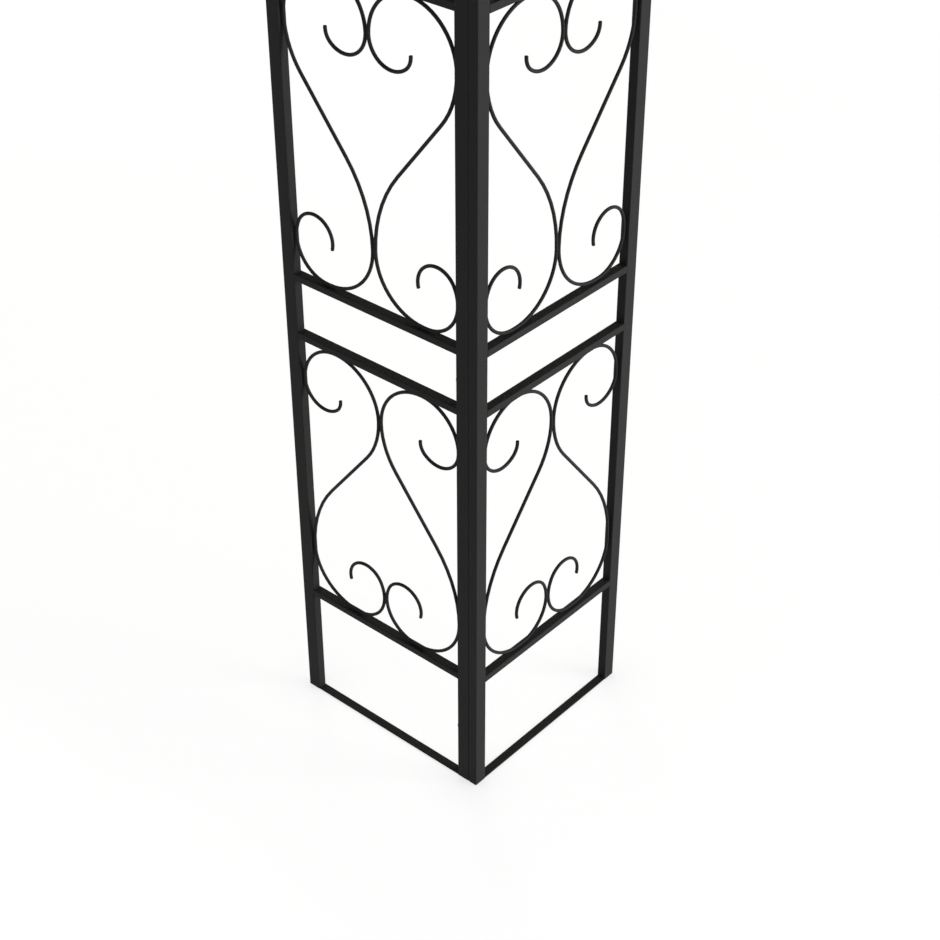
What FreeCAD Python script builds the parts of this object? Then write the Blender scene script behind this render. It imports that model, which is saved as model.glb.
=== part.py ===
import FreeCAD, Part
import math
import os

# Garden gazebo of welded steel tube on four corner legs, with a vented fabric roof.
# Millimetres, +Z up, origin on the ground at the middle of the plan.

V = FreeCAD.Vector
UP = V(0, 0, 1)

# Plan, measured over the outer faces of the legs
plan_x = 4000.0
plan_y = 3000.0

# Leg panel: two posts with cross rails and flat strips between them
panel_width = 470.0
panel_depth = 20.0
post_width = 30.0
rail_height = 15.0
tube_wall = 1.2
strip_thickness = 3.0
base_gap = 267.0
tier_height = 626.0
middle_gap = 114.0

# Scroll bar: round wire bent in one plane, described from its upper curl to its lower one
bar_diameter = 7.0
bar_sides = 4
bar_flat_sag = 3.0
upper_tip_radius = 32.0
upper_tip_turn = math.radians(57.0)
upper_curl_radius = 52.0
upper_curl_turn = math.radians(128.0)
upper_arch_radius = 90.0
shoulder_radius = 160.0
straight_run = 166.0
lower_flat = 7.0
lower_arch_radius = 76.5
lower_arch_lead = math.radians(27.0)
lower_curl_radius = 46.0
lower_curl_turn = math.radians(169.0)

# Foot plugs and the bolts that join the two panels of a leg
slide_fit = 0.3
plug_height = 25.0
bolt_diameter = 6.0
bolt_length = 40.0
bolt_head_radius = 5.5
bolt_head_height = 4.0
bolt_hole_play = 0.5
nut_outer = 9.0
nut_length = 12.0
nut_play = 0.2

# Eave beams, their joint sleeves and the screws of the roof frame
beam_height = 40.0
sleeve_length = 200.0
sleeve_screw_offset = 50.0
screw_diameter = 5.0
screw_length = 14.0
screw_head_radius = 5.0
screw_head_height = 2.4

# Corner plates that carry the hip rafters
plate_thickness = 3.0
plate_reach = 180.0
plate_nose = 40.0
plate_screw_inset = 13.0
plate_screw_reach = 150.0
saddle_inset = 100.0
saddle_width = 26.0
stub_length = 110.0

# Roof frame
roof_slope = 0.40
rafter_size = 25.0
rafter_start = 150.0
vent_inset = 1100.0
vent_rafter_size = 20.0
joint_setback = 15.0

# Fabric
canopy_overhang = 40.0
canopy_thickness = 1.5
canopy_clearance = 0.4
valance_drop = 190.0
vent_overhang = 60.0
vent_gap = 90.0
vent_valance_drop = 45.0

# Places that follow from the sizes above
leg_height = 2 * (base_gap + 2 * rail_height + tier_height) + middle_gap
lower_tier = base_gap + rail_height
upper_tier = lower_tier + tier_height + 2 * rail_height + middle_gap
rail_bottoms = (base_gap, lower_tier + tier_height, upper_tier - rail_height, upper_tier + tier_height)
half_opening = panel_width / 2 - post_width
beam_top = leg_height + beam_height
beam_depth = panel_depth
bolt_heights = (base_gap / 2, leg_height / 2, leg_height - base_gap / 2)
bolt_across = panel_depth / 2
canopy_eave = beam_top + plate_thickness + canopy_clearance - roof_slope * canopy_overhang
ridge_half = (plan_x - plan_y) / 2
ridge_inset = plan_y / 2


def box(low, high):
    """Upright block between two corners."""
    size = high - low
    return Part.makeBox(size.x, size.y, size.z, low)


def tube_along(axis, low, high):
    """Rectangular tube that is open along one axis, between two corners."""
    margin = V(tube_wall, tube_wall, tube_wall)
    setattr(margin, axis, 0.0)
    return box(low, high).cut(box(low + margin, high - margin))


def filled(corners):
    """Flat face inside an outline of corners."""
    return Part.Face(Part.makePolygon(corners + corners[:1]))


def hex_bar(start, direction, radius, length):
    """Six-sided bar from a point along an axis: a shank, a head, a nut or its hole."""
    first = V(direction.z, direction.x, direction.y)
    second = direction.cross(first)
    corners = []
    for i in range(6):
        angle = i * math.pi / 3
        corners.append(start + first * (radius * math.cos(angle)) + second * (radius * math.sin(angle)))
    return filled(corners).extrude(direction * length)


def slanted_box(start, end, size):
    """Square bar between two points, with its upper face level across."""
    along = (end - start).normalize()
    across = UP.cross(along).normalize()
    turn = FreeCAD.Rotation(along, across, along.cross(across), "XYZ")
    bar = Part.makeBox(start.distanceToPoint(end), size, size, V(0, -size / 2, -size / 2))
    bar.Placement = FreeCAD.Placement(start, turn)
    return bar


def slanted_tube(start, end, size):
    """Square tube between two points."""
    along = (end - start).normalize()
    bore = slanted_box(start - along, end + along, size - 2 * tube_wall)
    return slanted_box(start, end, size).cut(bore)


def stub_in(size):
    """Side of the square stub that slides into a square tube."""
    return size - 2 * (tube_wall + slide_fit)


def post(start):
    """Upright tube of a panel."""
    return tube_along("z", V(start, 0, 0), V(start + post_width, panel_depth, leg_height))


def nut_post():
    """Corner post whose rear wall holds the rivet nuts."""
    tube = post(0)
    for height in bolt_heights:
        start = V(bolt_across, panel_depth - 2 * tube_wall, height)
        tube = tube.cut(hex_bar(start, V(0, 1, 0), (nut_outer + nut_play) / 2, 3 * tube_wall))
    return tube


def bolt_post():
    """Corner post that the leg bolts pass through."""
    tube = post(0)
    for height in bolt_heights:
        start = V(0, bolt_across, height)
        tube = tube.cut(hex_bar(start, V(1, 0, 0), (bolt_diameter + bolt_hole_play) / 2, post_width))
    return tube


def end_post():
    """Post at the free side of a panel."""
    return post(panel_width - post_width)


def cross_members():
    """Four rails, the base strip and the top strip of one panel."""
    start = post_width
    end = panel_width - post_width
    members = []
    for bottom in rail_bottoms:
        members.append(tube_along("x", V(start, 0, bottom), V(end, panel_depth, bottom + rail_height)))
    for bottom in (0.0, leg_height - strip_thickness):
        members.append(box(V(start, 0, bottom), V(end, panel_depth, bottom + strip_thickness)))
    members[-1] = members[-1].cut(strip_screw(panel_width / 2))
    return Part.makeCompound(members)


def bend(centre, radius, start, end):
    """Points and headings along one bend of the scroll bar, in short flats."""
    side = 1.0 if end > start else -1.0
    flat_turn = 2 * math.acos(1 - bar_flat_sag / radius)
    count = max(1, math.ceil(abs(end - start) / flat_turn))
    points = []
    for i in range(count + 1):
        heading = start + (end - start) * i / count
        across = centre[0] + side * radius * math.sin(heading)
        height = centre[1] - side * radius * math.cos(heading)
        points.append((across, height, heading))
    return points


def inner_centre(centre, radius, new_radius, heading, side):
    """Centre of the next bend where the radius changes at a heading."""
    shift = side * (radius - new_radius)
    return centre[0] + shift * math.sin(heading), centre[1] - shift * math.cos(heading)


def scroll_path():
    """Centreline of a scroll bar between a post, two rails and the panel's middle."""
    inset = bar_diameter / 2
    post_side = inset
    middle = half_opening - inset
    bottom = inset
    top = tier_height - inset
    span = middle - post_side
    quarter = math.pi / 2

    arch_in = span - upper_arch_radius
    arch_out = span - lower_arch_radius - lower_flat
    curl_height = top - upper_arch_radius
    shoulder_height = top - arch_in
    hip_height = bottom + arch_out
    rise = shoulder_height - hip_height
    both_radii = (span ** 2 + rise ** 2 - straight_run ** 2) / (2 * span)
    hip_radius = both_radii - shoulder_radius
    lean = math.atan2(straight_run, both_radii) - math.atan2(rise, both_radii - span) - quarter

    tip_heading = quarter + upper_curl_turn
    curl_centre = (post_side + upper_curl_radius, curl_height)
    tip_centre = inner_centre(curl_centre, upper_curl_radius, upper_tip_radius, tip_heading, -1)
    fold_heading = quarter + lower_arch_lead
    fold_centre = (middle - lower_arch_radius, bottom + lower_arch_radius)
    eye_centre = inner_centre(fold_centre, lower_arch_radius, lower_curl_radius, fold_heading, 1)

    bends = (
        bend(tip_centre, upper_tip_radius, tip_heading + upper_tip_turn, tip_heading),
        bend(curl_centre, upper_curl_radius, tip_heading, quarter),
        bend((post_side + upper_arch_radius, curl_height), upper_arch_radius, quarter, 0),
        bend((middle - arch_in, shoulder_height), arch_in, 0, -quarter),
        bend((middle - shoulder_radius, shoulder_height), shoulder_radius, -quarter, lean),
        bend((post_side + hip_radius, hip_height), hip_radius, lean, -quarter),
        bend((post_side + arch_out, hip_height), arch_out, -quarter, 0),
        bend(fold_centre, lower_arch_radius, 0, fold_heading),
        bend(eye_centre, lower_curl_radius, fold_heading, fold_heading + lower_curl_turn),
    )
    path = list(bends[0])
    for points in bends[1:]:
        joined = math.dist(path[-1][:2], points[0][:2]) < bar_flat_sag / 100
        path += points[1:] if joined else points
    return path


def bar_section(across, height, heading):
    """Corners of the scroll bar's section, square to its heading."""
    corners = []
    for i in range(bar_sides):
        angle = 2 * math.pi * i / bar_sides
        out = bar_diameter / 2 * math.cos(angle)
        deep = panel_depth / 2 + bar_diameter / 2 * math.sin(angle)
        corners.append(V(across - out * math.sin(heading), deep, height + out * math.cos(heading)))
    return corners


def scroll_bar():
    """One scroll bar: its section carried along the centreline, mitred from flat to flat."""
    sections = [bar_section(*point) for point in scroll_path()]
    faces = [filled(sections[0]), filled(sections[-1])]
    for near, far in zip(sections, sections[1:]):
        for i in range(bar_sides):
            faces.append(filled([near[i - 1], near[i], far[i], far[i - 1]]))
    shell = Part.makeShell(faces)
    shell.sewShape()
    return Part.Solid(shell)


def scroll_bars():
    """Two mirrored scroll bars in each tier, turned over from one tier to the next."""
    lower = scroll_bar()
    lower.translate(V(post_width, 0, lower_tier))
    upper = lower.mirror(V(post_width + half_opening / 2, 0, 0), V(1, 0, 0))
    upper.translate(V(0, 0, upper_tier - lower_tier))
    bars = [lower, upper]
    for bar in (lower, upper):
        bars.append(bar.mirror(V(panel_width / 2, 0, 0), V(1, 0, 0)))
    return Part.makeCompound(bars)


def foot_plug(start):
    """Plug that closes a post at the ground."""
    margin = tube_wall + slide_fit
    return box(V(start + margin, margin, 0), V(start + post_width - margin, panel_depth - margin, plug_height))


def foot_plugs():
    """Both plugs of one panel."""
    return Part.makeCompound([foot_plug(0), foot_plug(panel_width - post_width)])


def leg_bolts():
    """Bolts through the second panel's corner post, from its inner face."""
    bolts = []
    face = panel_depth + post_width
    for height in bolt_heights:
        seat = V(bolt_across, face, height)
        head = hex_bar(seat, V(0, 1, 0), bolt_head_radius, bolt_head_height)
        bolts.append(head.fuse(hex_bar(seat, V(0, -1, 0), bolt_diameter / 2, bolt_length)))
    return Part.makeCompound(bolts)


def rivet_nuts():
    """Threaded sleeves pressed into the first panel's corner post."""
    nuts = []
    for height in bolt_heights:
        start = V(bolt_across, panel_depth, height)
        body = hex_bar(start, V(0, -1, 0), nut_outer / 2, nut_length)
        nuts.append(body.cut(hex_bar(start, V(0, -1, 0), (bolt_diameter + nut_play) / 2, nut_length)))
    return Part.makeCompound(nuts)


def screw(seat, direction):
    """Screw whose head stands on a face and whose shank runs the other way."""
    head = hex_bar(seat, direction, screw_head_radius, screw_head_height)
    return head.fuse(hex_bar(seat, direction * -1, screw_diameter / 2, screw_length))


def strip_screw(across):
    """Screw up through the top strip of a panel into the beam."""
    return screw(V(across, panel_depth / 2, leg_height - strip_thickness), UP * -1)


def plate_screw(x, y):
    """Screw down through a corner plate into a beam."""
    return screw(V(x, y, beam_top + plate_thickness), UP)


# Corners of the plan, in turn, and the placing of legs and panels
corner_signs = ((-1, -1), (1, -1), (1, 1), (-1, 1))
side_lengths = (plan_x, plan_y, plan_x, plan_y)
leg_names = ("front_left", "front_right", "back_right", "back_left")
second_panel = FreeCAD.Placement(V(panel_depth, panel_depth, 0), FreeCAD.Rotation(UP, 90))


def roof_point(corner, inset, height):
    """Point on a hip line, at one inset from both outer faces."""
    sign_x, sign_y = corner_signs[corner]
    return V(sign_x * (plan_x / 2 - inset), sign_y * (plan_y / 2 - inset), height)


def leg_place(corner):
    """Placing of a leg, or of an eave beam, that starts at a corner."""
    return FreeCAD.Placement(roof_point(corner, 0, 0), FreeCAD.Rotation(UP, 90 * corner))


def placed(shape, placement):
    """Copy of a shape, moved."""
    moved = shape.copy()
    moved.Placement = placement.multiply(shape.Placement)
    return moved


def at_all_corners(shape):
    """One copy of a shape at each leg."""
    return [placed(shape, leg_place(corner)) for corner in range(4)]


def beam_halves(length):
    """Two halves of an eave beam, which lies on the tops of two leg panels."""
    run = length - panel_depth
    halves = []
    for start, end in ((0.0, run / 2), (run / 2, run)):
        halves.append(tube_along("x", V(start, 0, leg_height), V(end, beam_depth, beam_top)))
    return halves


def beam_sleeve(length):
    """Inner tube across the joint of a beam."""
    middle = (length - panel_depth) / 2
    margin = tube_wall + slide_fit
    low = V(middle - sleeve_length / 2, margin, leg_height + margin)
    high = V(middle + sleeve_length / 2, beam_depth - margin, beam_top - margin)
    return tube_along("x", low, high)


def beam_screws(length):
    """Screws of one side: at the sleeve, through each panel's top strip and through the corner plates."""
    run = length - panel_depth
    screws = []
    for offset in (-sleeve_screw_offset, sleeve_screw_offset):
        screws.append(screw(V(run / 2 + offset, beam_depth, leg_height + beam_height / 2), V(0, 1, 0)))
    for middle in (panel_width / 2, run - panel_width / 2):
        screws.append(strip_screw(middle))
    for reach in (plate_screw_reach, length - plate_screw_reach):
        screws.append(plate_screw(reach, plate_screw_inset))
    return screws


def drilled(tube, length):
    """Beam half, or sleeve, with the holes of its screws."""
    for fastener in beam_screws(length):
        tube = tube.cut(fastener)
    return tube


def hip_top(inset):
    """Underside of the main canopy on the hip line."""
    return canopy_eave + roof_slope * (inset + canopy_overhang)


def hip_axis(inset):
    """Axis of a hip rafter, clear of the fabric on both sides of the hip."""
    return hip_top(inset) - canopy_clearance - rafter_size / 2 * (1 + roof_slope)


def corner_plate():
    """Plate over the beams' corner, with the saddle and the stub of the hip rafter."""
    outline = [(0, 0), (plate_reach, 0), (plate_reach, plate_nose), (plate_nose, plate_reach), (0, plate_reach)]
    corners = [V(x, y, beam_top) for x, y in outline]
    plate = filled(corners).extrude(V(0, 0, plate_thickness))
    for x, y in ((plate_screw_reach, plate_screw_inset), (plate_screw_inset, plate_screw_reach)):
        plate = plate.cut(plate_screw(x, y))
    stub_end = rafter_start + stub_length / math.sqrt(2)
    stub = slanted_box(
        V(saddle_inset, saddle_inset, hip_axis(saddle_inset)),
        V(stub_end, stub_end, hip_axis(stub_end)),
        stub_in(rafter_size),
    )
    half = saddle_width / 2
    saddle = box(
        V(saddle_inset - half, saddle_inset - half, beam_top),
        V(saddle_inset + half, saddle_inset + half, hip_axis(saddle_inset)),
    )
    return plate.fuse([saddle, stub]).removeSplitter()


def hip_rafter(corner):
    """Rafter from a corner plate up to the vent frame."""
    end = vent_inset - rafter_size / 2 - joint_setback
    start_point = roof_point(corner, rafter_start, hip_axis(rafter_start))
    return slanted_tube(start_point, roof_point(corner, end, hip_axis(end)), rafter_size)


# Levels of the vent roof
vent_level = hip_axis(vent_inset)
vent_eave_inset = vent_inset - vent_overhang
vent_eave = hip_top(vent_eave_inset) + canopy_thickness + vent_gap


def vent_top(inset):
    """Underside of the vent canopy on the hip line."""
    return vent_eave + roof_slope * (inset - vent_eave_inset)


def vent_axis(inset):
    """Axis of a vent rafter."""
    return vent_top(inset) - canopy_clearance - vent_rafter_size / 2 * (1 + roof_slope)


def ring_tubes():
    """Four tubes of the vent frame, each between two corner brackets."""
    half = rafter_size / 2
    reach_x = plan_x / 2 - vent_inset
    reach_y = plan_y / 2 - vent_inset
    tubes = []
    for side in (-1, 1):
        centre = side * reach_y
        low = V(-reach_x + half, centre - half, vent_level - half)
        tubes.append(tube_along("x", low, V(reach_x - half, centre + half, vent_level + half)))
        centre = side * reach_x
        low = V(centre - half, -reach_y + half, vent_level - half)
        tubes.append(tube_along("y", low, V(centre + half, reach_y - half, vent_level + half)))
    return Part.makeCompound(tubes)


def vent_bracket(corner):
    """Upright at a corner of the vent frame, with stubs for every tube that meets it."""
    half = rafter_size / 2
    sign_x, sign_y = corner_signs[corner]
    centre = roof_point(corner, vent_inset, vent_level)
    top = vent_top(vent_inset - half) - canopy_clearance
    upright = box(centre - V(half, half, half), V(centre.x + half, centre.y + half, top))
    rafter_end = vent_inset - stub_length / math.sqrt(2)
    hip_end = vent_inset + stub_length / math.sqrt(2)
    stubs = [
        slanted_box(centre, roof_point(corner, rafter_end, hip_axis(rafter_end)), stub_in(rafter_size)),
        slanted_box(
            roof_point(corner, vent_inset, vent_axis(vent_inset)),
            roof_point(corner, hip_end, vent_axis(hip_end)),
            stub_in(vent_rafter_size),
        ),
        slanted_box(centre, centre - V(sign_x * stub_length, 0, 0), stub_in(rafter_size)),
        slanted_box(centre, centre - V(0, sign_y * stub_length, 0), stub_in(rafter_size)),
    ]
    return upright.fuse(stubs).removeSplitter()


def vent_rafter(corner):
    """Rafter from a vent bracket up to the ridge."""
    start = vent_inset + rafter_size / 2 + joint_setback
    end = ridge_inset - vent_rafter_size / 2 - joint_setback
    return slanted_tube(
        roof_point(corner, start, vent_axis(start)),
        roof_point(corner, end, vent_axis(end)),
        vent_rafter_size,
    )


def ridge_tube():
    """Tube along the top of the vent roof."""
    end = V(ridge_half - vent_rafter_size / 2, 0, vent_axis(ridge_inset))
    return slanted_tube(V(-end.x, 0, end.z), end, vent_rafter_size)


def ridge_connector(side):
    """Block at one end of the ridge, with stubs for the ridge and two rafters."""
    half = vent_rafter_size / 2
    centre = V(side * ridge_half, 0, vent_axis(ridge_inset))
    block = box(centre - V(half, half, half), centre + V(half, half, half))
    stubs = [slanted_box(centre, centre - V(side * stub_length, 0, 0), stub_in(vent_rafter_size))]
    low = ridge_inset - stub_length / math.sqrt(2)
    for corner in range(4):
        if corner_signs[corner][0] == side:
            stubs.append(slanted_box(centre, roof_point(corner, low, vent_axis(low)), stub_in(vent_rafter_size)))
    return block.fuse(stubs).removeSplitter()


def gores(low_inset, low_height, high_inset):
    """Four sewn panels of a hipped canopy, which meet at the hips."""
    high_height = low_height + roof_slope * (high_inset - low_inset)
    panels = []
    for corner in range(4):
        following = (corner + 1) % 4
        outline = [
            roof_point(corner, low_inset, low_height),
            roof_point(following, low_inset, low_height),
            roof_point(following, high_inset, high_height),
            roof_point(corner, high_inset, high_height),
        ]
        if outline[2].distanceToPoint(outline[3]) < canopy_thickness:
            outline.pop()
        panels.append(filled(outline).extrude(V(0, 0, canopy_thickness)))
    return panels


def valance(inset, top, drop):
    """Four hanging strips round the lower edge of a canopy."""
    strips = []
    for corner in range(4):
        length = side_lengths[corner] - 2 * inset - canopy_thickness
        strip = box(V(0, 0, top - drop), V(length, canopy_thickness, top))
        place = FreeCAD.Placement(roof_point(corner, inset, 0), FreeCAD.Rotation(UP, 90 * corner))
        strips.append(placed(strip, place))
    return strips


def export(name, shape):
    """Write one named piece."""
    shape.exportStep("parts/" + name + ".step")


def export_legs():
    """Panels of the four legs, their foot plugs, bolts and nuts."""
    pieces = {"end_post": end_post(), "rails": cross_members(), "scrolls": scroll_bars()}
    panels = {
        "first": (FreeCAD.Placement(), dict(pieces, corner_post=nut_post())),
        "second": (second_panel, dict(pieces, corner_post=bolt_post())),
    }
    plugs = []
    for corner, leg in enumerate(leg_names):
        for panel, (local, members) in panels.items():
            place = leg_place(corner).multiply(local)
            for piece, shape in members.items():
                export(leg + "_" + panel + "_" + piece, placed(shape, place))
            plugs.append(placed(foot_plugs(), place))
    export("foot_plugs", Part.makeCompound(plugs))
    export("leg_bolts", Part.makeCompound(at_all_corners(leg_bolts())))
    export("leg_rivet_nuts", Part.makeCompound(at_all_corners(rivet_nuts())))


def export_eaves():
    """Beams, sleeves, corner plates and screws."""
    sides = ("front", "right", "back", "left")
    sleeves = []
    screws = []
    for corner, side in enumerate(sides):
        length = side_lengths[corner]
        place = leg_place(corner)
        for name, half in zip(("near", "far"), beam_halves(length)):
            export(side + "_beam_" + name, placed(drilled(half, length), place))
        sleeves.append(placed(drilled(beam_sleeve(length), length), place))
        screws += [placed(fastener, place) for fastener in beam_screws(length)]
    export("beam_sleeves", Part.makeCompound(sleeves))
    export("roof_screws", Part.makeCompound(screws))
    export("corner_plates", Part.makeCompound(at_all_corners(corner_plate())))


def export_roof():
    """Rafters, vent frame, ridge and fabric."""
    for corner, leg in enumerate(leg_names):
        export(leg + "_hip_rafter", hip_rafter(corner))
    export("vent_frame", ring_tubes())
    export("vent_brackets", Part.makeCompound([vent_bracket(corner) for corner in range(4)]))
    export("vent_rafters", Part.makeCompound([vent_rafter(corner) for corner in range(4)]))
    export("ridge_tube", ridge_tube())
    export("ridge_connectors", Part.makeCompound([ridge_connector(side) for side in (-1, 1)]))
    top_inset = vent_inset - rafter_size / 2 - canopy_clearance
    export("main_canopy", Part.makeCompound(gores(-canopy_overhang, canopy_eave, top_inset)))
    export("main_valance", Part.makeCompound(valance(-canopy_overhang, canopy_eave, valance_drop)))
    vent_fabric = gores(vent_eave_inset, vent_eave, ridge_inset)
    vent_fabric += valance(vent_eave_inset, vent_eave, vent_valance_drop)
    export("vent_canopy", Part.makeCompound(vent_fabric))


os.makedirs("parts", exist_ok=True)
export_legs()
export_eaves()
export_roof()
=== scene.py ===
import math

import bmesh
import bpy
from bpy.props import FloatProperty, FloatVectorProperty, IntProperty, PointerProperty, StringProperty
from mathutils import Matrix, Vector


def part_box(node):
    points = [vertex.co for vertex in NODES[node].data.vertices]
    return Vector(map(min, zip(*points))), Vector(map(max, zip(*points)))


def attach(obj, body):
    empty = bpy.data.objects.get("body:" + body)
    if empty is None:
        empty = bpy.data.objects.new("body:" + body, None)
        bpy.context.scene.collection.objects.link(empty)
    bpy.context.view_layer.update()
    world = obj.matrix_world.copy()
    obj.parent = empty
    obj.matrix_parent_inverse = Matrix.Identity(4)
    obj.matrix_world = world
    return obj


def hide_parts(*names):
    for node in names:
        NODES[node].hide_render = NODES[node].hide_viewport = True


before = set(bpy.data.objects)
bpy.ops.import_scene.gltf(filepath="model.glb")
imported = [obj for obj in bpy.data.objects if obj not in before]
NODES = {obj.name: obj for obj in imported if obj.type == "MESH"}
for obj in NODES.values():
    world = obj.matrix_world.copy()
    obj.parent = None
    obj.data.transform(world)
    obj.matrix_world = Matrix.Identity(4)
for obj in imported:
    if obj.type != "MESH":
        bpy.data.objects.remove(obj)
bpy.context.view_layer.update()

bl_info = {
    "name": "Scrollwork Garden Gazebo",
    "version": (1, 0, 0),
    "blender": (4, 5, 0),
    "location": "View3D > Sidebar > Gazebo",
    "description": "Dresses a gazebo frame with coated tubes, scroll bars, fittings and a vented canopy",
    "category": "Object",
}

LEGS = ("front_left", "front_right", "back_right", "back_left")
SIDES = ("front", "right", "back", "left")
CORNER_SIGNS = ((-1, -1), (1, -1), (1, 1), (-1, 1))
QUARTER = math.pi / 2
FULL_TURN = 2 * math.pi
DIAGONAL = math.sqrt(2)

# Studio lamps: place, what each faces, side, and whether the coat mirrors it
LAMPS = {
    "key": ((3.6, -11.0, 2.8), (-1.0, -0.8, 0.9), 5.0, True),
    "fill": ((-7.0, 2.2, 2.0), (-1.0, 0.0, 0.9), 4.0, True),
    "back": ((6.5, 8.5, 3.4), (0.5, 0.5, 1.2), 5.0, False),
    "top": ((0.0, 0.0, 8.0), (0.0, 0.0, 0.0), 2.0, False),
}

# Sizes that the frame gives
POST_LOW, POST_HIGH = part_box("front_left_first_corner_post")
END_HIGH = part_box("front_left_first_end_post")[1]
HALF_PLAN = (-POST_LOW.x, -POST_LOW.y)
SIDE_LENGTHS = (2 * HALF_PLAN[0], 2 * HALF_PLAN[1]) * 2
PANEL_DEPTH = POST_HIGH.y - POST_LOW.y
POST_WIDTH = POST_HIGH.x - POST_LOW.x
PANEL_WIDTH = END_HIGH.x - POST_LOW.x
HALF_OPENING = PANEL_WIDTH / 2 - POST_WIDTH

# Points closer than this are one, in the frame's triangles and in cloth
TRIANGLE_MERGE = 1e-6
CLOTH_MERGE = 1e-5

# Shortest edge that is rounded, on tubes and on plates
TUBE_EDGE = 0.2
PLATE_EDGE = 0.018

# Half of the frame's 1.5 mm canvas, from a face to its middle
CLOTH_MIDDLE = 0.00075

# Room between the main canopy's upper edge and the vent frame
RING_GAP = 0.0004

# Radius of an eave's corners in plan, and the run round one of them
EAVE_BEND = 0.012
EAVE_ARC = EAVE_BEND * QUARTER

# How high sewn layers lie over the middle of the canvas, and how thick a hem is, in thicknesses of canvas
LOWER_LAYER = 1.6
UPPER_LAYER = 2.7
BINDING_LAYER = 1.3
HEM_LAYERS = 3

# Width of a corner binding in hem widths, as it goes round the corner
BINDING_WIDTH = 1.4

# Ripples in slack cloth: share of the sag, and the turn for each metre along the eave and in from it
RIPPLES = ((0.06, 9.0, 4.0), (0.05, 15.0, -11.0))

# Points along each fold of a skirt, rows of points in a hem, and how far from a corner the folds are full
FOLD_STEPS = 12
HEM_ROWS = 3
FOLD_FADE = 0.25

# Points along and round a welt
WELT_STEPS = 400
WELT_SIDES = 8


def linear(hex_colour):
    """Linear RGBA of an sRGB hex colour."""
    channels = [int(hex_colour[i:i + 2], 16) / 255 for i in (1, 3, 5)]
    return [c / 12.92 if c <= 0.04045 else ((c + 0.055) / 1.055) ** 2.4 for c in channels] + [1.0]


def add_node(tree, kind, inputs=None, **settings):
    """Add a shader node with its settings, and set or link its inputs."""
    made = tree.nodes.new(kind)
    for name, value in settings.items():
        setattr(made, name, value)
    for name, value in (inputs or {}).items():
        if isinstance(value, bpy.types.NodeSocket):
            tree.links.new(value, made.inputs[name])
        else:
            made.inputs[name].default_value = value
    return made


def new_material(name):
    """An empty node material and its tree and output."""
    material = bpy.data.materials.new(name)
    material.use_nodes = True
    tree = material.node_tree
    tree.nodes.clear()
    return material, tree, tree.nodes.new("ShaderNodeOutputMaterial")


def mottle(tree, place, size, detail, dark, light):
    """Noise in patches of a real size, and the tone between two colours that it gives."""
    noise = add_node(tree, "ShaderNodeTexNoise", {"Vector": place, "Scale": 1 / size, "Detail": detail})
    tone = add_node(
        tree, "ShaderNodeMix", {"Factor": noise.outputs["Fac"], "A": linear(dark), "B": linear(light)},
        data_type="RGBA",
    )
    return noise.outputs["Fac"], tone.outputs["Result"]


def powder_coat(tree, scene):
    """Powder-coated mild steel, baked to a satin black."""
    # The baked powder flows out with a faint orange peel, so the black keeps a soft, slightly broken sheen.
    colours = scene.gazebo_colours
    place = add_node(tree, "ShaderNodeTexCoord").outputs["Object"]
    # Flow of the film in patches about 90 mm long
    patches, tone = mottle(tree, place, size=0.09, detail=3.0, dark=colours.coat_dark, light=colours.coat_light)
    sheen = add_node(
        tree, "ShaderNodeMapRange",
        {"Value": patches, "From Min": 0.3, "From Max": 0.7, "To Min": 0.46, "To Max": 0.56},
    )
    # Orange peel about 3 mm from crest to crest
    crest = 0.003
    peel = add_node(tree, "ShaderNodeTexNoise", {"Vector": place, "Scale": 1 / crest, "Detail": 1.0})
    bump = add_node(tree, "ShaderNodeBump", {"Height": peel.outputs["Fac"], "Strength": 0.35, "Distance": 0.0003})
    return add_node(
        tree, "ShaderNodeBsdfPrincipled",
        {
            "Base Color": tone,
            "Roughness": sheen.outputs["Result"],
            "Specular IOR Level": 0.05,
            "Normal": bump.outputs["Normal"],
        },
    )


def black_zinc(tree, scene):
    """Zinc-plated steel with a black passivation."""
    # Thin dark film over bright plating: metallic, with cloudy patches where the dip dried.
    colours = scene.gazebo_colours
    place = add_node(tree, "ShaderNodeTexCoord").outputs["Object"]
    # Clouds about 4 mm across
    clouds, tone = mottle(tree, place, size=0.004, detail=4.0, dark=colours.zinc_dark, light=colours.zinc_light)
    gloss = add_node(
        tree, "ShaderNodeMapRange",
        {"Value": clouds, "From Min": 0.3, "From Max": 0.7, "To Min": 0.32, "To Max": 0.48},
    )
    return add_node(
        tree, "ShaderNodeBsdfPrincipled",
        {"Base Color": tone, "Roughness": gloss.outputs["Result"], "Metallic": 0.9},
    )


def moulded_plastic(tree, scene):
    """Injection-moulded polyethylene."""
    # Spark-eroded mould skin: matte, with a fine grain.
    colours = scene.gazebo_colours
    place = add_node(tree, "ShaderNodeTexCoord").outputs["Object"]
    # Grains of about half a millimetre
    grain, tone = mottle(tree, place, size=0.0005, detail=1.0, dark=colours.coat_dark, light=colours.coat_light)
    bump = add_node(tree, "ShaderNodeBump", {"Height": grain, "Strength": 0.3, "Distance": 0.0001})
    return add_node(
        tree, "ShaderNodeBsdfPrincipled",
        {"Base Color": tone, "Roughness": 0.7, "IOR": 1.51, "Normal": bump.outputs["Normal"]},
    )


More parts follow.
